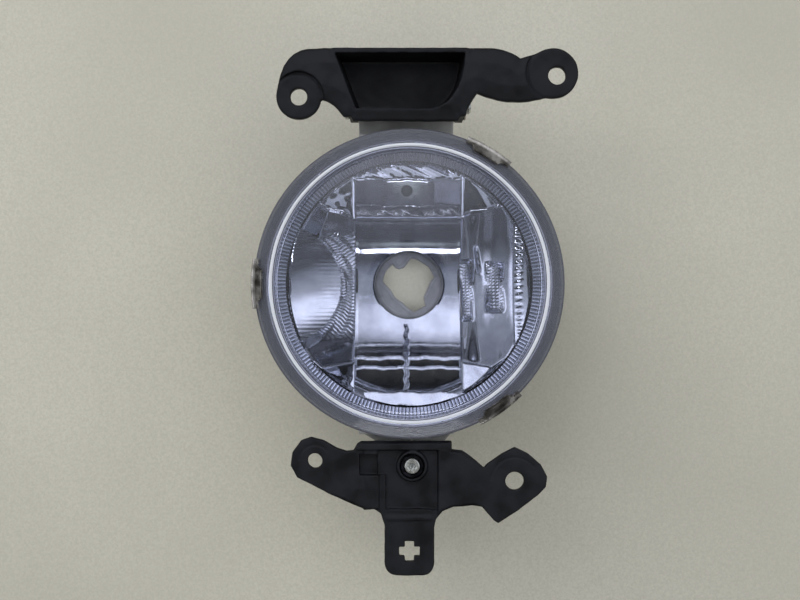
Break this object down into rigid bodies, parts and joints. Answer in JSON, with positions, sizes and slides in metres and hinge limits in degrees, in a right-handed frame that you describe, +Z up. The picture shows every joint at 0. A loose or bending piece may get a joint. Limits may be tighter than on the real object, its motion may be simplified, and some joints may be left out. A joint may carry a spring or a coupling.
{
  "type": "fog light",
  "caption": "Round clear-lens fog light with a faceted reflector, held on two black moulded brackets and aimed up or down by a screw.",
  "frame": {"origin": "on the optical axis, in the plane of the bracket ears' front faces, which seat against the bumper", "axes": "lens faces -Y, +Z up when fitted, +X to the right for someone in front of the lamp; the bulb goes in from +Y"},
  "size_m": [0.1078, 0.0679, 0.1739],
  "materials": {
    "lens_glass": "polished",
    "mirror_coat": "polished",
    "housing_plastic": "satin",
    "bracket_plastic": "satin",
    "socket_plastic": "gloss",
    "seal_rubber": "matte",
    "spring_steel": "gloss",
    "zinc_steel": "satin",
    "nylon": "satin",
    "filter_foam": "matte"
  },
  "bodies": {
    "mounting": {"upper_bracket": "bracket_plastic", "lower_bracket": "bracket_plastic", "pivot_pin": "zinc_steel", "pivot_pin_clip": "spring_steel"},
    "lamp_unit": {"housing": "housing_plastic", "reflector": "mirror_coat", "bulb_socket_ring": "socket_plastic", "lens_seal": "seal_rubber", "lens": "lens_glass", "vent_elbow": "seal_rubber", "vent_filter": "filter_foam", "pivot_bush_left": "nylon", "pivot_bush_right": "nylon", "lens_clip_upper_right": "spring_steel", "lens_clip_left": "spring_steel", "lens_clip_lower_right": "spring_steel"},
    "aiming_screw": {"aiming_screw": "zinc_steel", "screw_push_nut": "spring_steel", "screw_washer": "nylon"},
    "adjuster_nut": {"adjuster_nut": "nylon"}
  },
  "joints": [
    {"name": "lamp_tilt", "type": "hinge", "parent": "mounting", "child": "lamp_unit", "pos_m": [0, 0.022, 0.061], "axis": [1, 0, 0], "range_deg": [-3, 3]},
    {"name": "screw_turn", "type": "hinge", "parent": "mounting", "child": "aiming_screw", "pos_m": [0.0009, 0, -0.06], "axis": [0, 1, 0], "range_deg": [-1142, 1142]},
    {"name": "nut_travel", "type": "slide", "parent": "mounting", "child": "adjuster_nut", "axis": [0, 1, 0], "range_m": [-0.00635, 0.00635]}
  ],
  "couplings": [
    {"joint": "screw_turn", "follows": "lamp_tilt", "ratio": -380.13},
    {"joint": "nut_travel", "follows": "lamp_tilt", "m_per_rad": 0.121}
  ]
}
